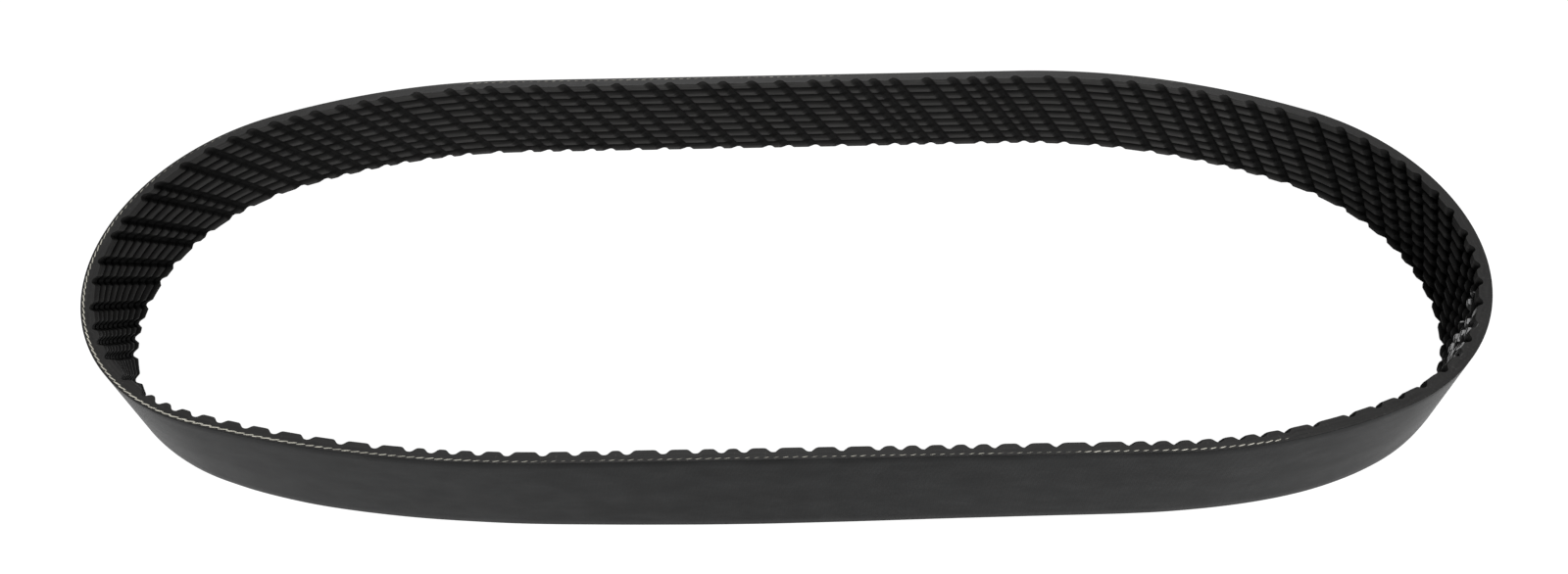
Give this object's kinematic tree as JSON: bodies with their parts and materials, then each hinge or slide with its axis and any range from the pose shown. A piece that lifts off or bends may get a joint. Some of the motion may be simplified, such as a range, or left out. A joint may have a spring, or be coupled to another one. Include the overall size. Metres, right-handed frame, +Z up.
{
  "type": "cogged v-ribbed belt",
  "caption": "Endless cogged V-ribbed drive belt standing on edge in a relaxed oval: woven backing, wound tensile cord and slanted-notch rib rubber, parted at flex lines so the loop bends.",
  "frame": {"origin": "middle of the loop, on the plane of its lower cut edge", "axes": "+X along the oval, +Y across it, +Z up along the belt's width"},
  "size_m": [0.4822, 0.1788, 0.0356],
  "materials": {
    "backing": "matte rubber-impregnated bias-woven cloth",
    "belt_rubber": "matte cut rubber edge",
    "tensile_cord": "cream twisted polyester cord",
    "rib_rubber": "fibre-filled ground rubber"
  },
  "bodies": {
    "front_run": {"backing_fabric_front_run": "backing", "over_cord_rubber_front_run": "belt_rubber", "tensile_cord_front_run": "tensile_cord", "cushion_rubber_front_run": "belt_rubber", "rib_rubber_front_run": "rib_rubber"},
    "front_right": {"backing_fabric_front_right": "backing", "over_cord_rubber_front_right": "belt_rubber", "tensile_cord_front_right": "tensile_cord", "cushion_rubber_front_right": "belt_rubber", "rib_rubber_front_right": "rib_rubber"},
    "right_end_front": {"backing_fabric_right_end_front": "backing", "over_cord_rubber_right_end_front": "belt_rubber", "tensile_cord_right_end_front": "tensile_cord", "cushion_rubber_right_end_front": "belt_rubber", "rib_rubber_right_end_front": "rib_rubber"},
    "right_end_back": {"backing_fabric_right_end_back": "backing", "over_cord_rubber_right_end_back": "belt_rubber", "tensile_cord_right_end_back": "tensile_cord", "cushion_rubber_right_end_back": "belt_rubber", "rib_rubber_right_end_back": "rib_rubber"},
    "back_right": {"backing_fabric_back_right": "backing", "over_cord_rubber_back_right": "belt_rubber", "tensile_cord_back_right": "tensile_cord", "cushion_rubber_back_right": "belt_rubber", "rib_rubber_back_right": "rib_rubber"},
    "back_run_right": {"backing_fabric_back_run_right": "backing", "over_cord_rubber_back_run_right": "belt_rubber", "tensile_cord_back_run_right": "tensile_cord", "cushion_rubber_back_run_right": "belt_rubber", "rib_rubber_back_run_right": "rib_rubber"},
    "back_run_left": {"backing_fabric_back_run_left": "backing", "over_cord_rubber_back_run_left": "belt_rubber", "tensile_cord_back_run_left": "tensile_cord", "cushion_rubber_back_run_left": "belt_rubber", "rib_rubber_back_run_left": "rib_rubber"},
    "back_left": {"backing_fabric_back_left": "backing", "over_cord_rubber_back_left": "belt_rubber", "tensile_cord_back_left": "tensile_cord", "cushion_rubber_back_left": "belt_rubber", "rib_rubber_back_left": "rib_rubber"},
    "left_end_back": {"backing_fabric_left_end_back": "backing", "over_cord_rubber_left_end_back": "belt_rubber", "tensile_cord_left_end_back": "tensile_cord", "cushion_rubber_left_end_back": "belt_rubber", "rib_rubber_left_end_back": "rib_rubber"},
    "left_end_front": {"backing_fabric_left_end_front": "backing", "over_cord_rubber_left_end_front": "belt_rubber", "tensile_cord_left_end_front": "tensile_cord", "cushion_rubber_left_end_front": "belt_rubber", "rib_rubber_left_end_front": "rib_rubber"},
    "front_left": {"backing_fabric_front_left": "backing", "over_cord_rubber_front_left": "belt_rubber", "tensile_cord_front_left": "tensile_cord", "cushion_rubber_front_left": "belt_rubber", "rib_rubber_front_left": "rib_rubber"}
  },
  "joints": [
    {"name": "flex_front_right", "type": "hinge", "parent": "front_run", "child": "front_right", "pos_m": [0.11719, -0.08821, 0.0178], "axis": [0, 0, 1], "range_deg": [-12, 15], "stiffness_Nm_per_rad": 0.08},
    {"name": "flex_right_shoulder_front", "type": "hinge", "parent": "front_right", "child": "right_end_front", "pos_m": [0.19527, -0.07197, 0.0178], "axis": [0, 0, 1], "range_deg": [-8.21, 6.57], "stiffness_Nm_per_rad": 0.08},
    {"name": "flex_right_tip", "type": "hinge", "parent": "right_end_front", "child": "right_end_back", "pos_m": [0.2399, -0.00642, 0.0178], "axis": [0, 0, 1], "range_deg": [-13.17, 10.53], "stiffness_Nm_per_rad": 0.08},
    {"name": "flex_right_shoulder_back", "type": "hinge", "parent": "right_end_back", "child": "back_right", "pos_m": [0.19995, 0.06207, 0.0178], "axis": [0, 0, 1], "range_deg": [-9.25, 7.4], "stiffness_Nm_per_rad": 0.08},
    {"name": "flex_back_right", "type": "hinge", "parent": "back_right", "child": "back_run_right", "pos_m": [0.09315, 0.08821, 0.0178], "axis": [0, 0, 1], "range_deg": [-12.5, 15.62], "stiffness_Nm_per_rad": 0.08},
    {"name": "flex_front_left", "type": "hinge", "parent": "front_run", "child": "front_left", "pos_m": [-0.06981, -0.08821, 0.0178], "axis": [0, 0, 1], "range_deg": [-12.63, 10.11], "stiffness_Nm_per_rad": 0.08},
    {"name": "flex_left_shoulder_front", "type": "hinge", "parent": "front_left", "child": "left_end_front", "pos_m": [-0.18684, -0.07072, 0.0178], "axis": [0, 0, 1], "range_deg": [-2.35, 2.94], "stiffness_Nm_per_rad": 0.08},
    {"name": "flex_left_tip", "type": "hinge", "parent": "left_end_front", "child": "left_end_back", "pos_m": [-0.23982, -0.00321, 0.0178], "axis": [0, 0, 1], "range_deg": [-13.14, 16.42], "stiffness_Nm_per_rad": 0.08},
    {"name": "flex_left_shoulder_back", "type": "hinge", "parent": "left_end_back", "child": "back_left", "pos_m": [-0.19482, 0.06985, 0.0178], "axis": [0, 0, 1], "range_deg": [-4.54, 5.68], "stiffness_Nm_per_rad": 0.08},
    {"name": "flex_back_left", "type": "hinge", "parent": "back_left", "child": "back_run_left", "pos_m": [-0.10658, 0.08821, 0.0178], "axis": [0, 0, 1], "range_deg": [-12.4, 9.92], "stiffness_Nm_per_rad": 0.08}
  ],
  "couplings": [
    {"joint": "flex_right_shoulder_front", "follows": "flex_front_right", "ratio": -0.5474},
    {"joint": "flex_right_tip", "follows": "flex_front_right", "ratio": -0.8778},
    {"joint": "flex_right_shoulder_back", "follows": "flex_front_right", "ratio": -0.6164},
    {"joint": "flex_back_right", "follows": "flex_front_right", "ratio": 1.0416},
    {"joint": "flex_front_left", "follows": "flex_front_right", "ratio": -0.8422},
    {"joint": "flex_left_shoulder_front", "follows": "flex_front_right", "ratio": 0.1958},
    {"joint": "flex_left_tip", "follows": "flex_front_right", "ratio": 1.0947},
    {"joint": "flex_left_shoulder_back", "follows": "flex_front_right", "ratio": 0.3786},
    {"joint": "flex_back_left", "follows": "flex_front_right", "ratio": -0.8269}
  ]
}
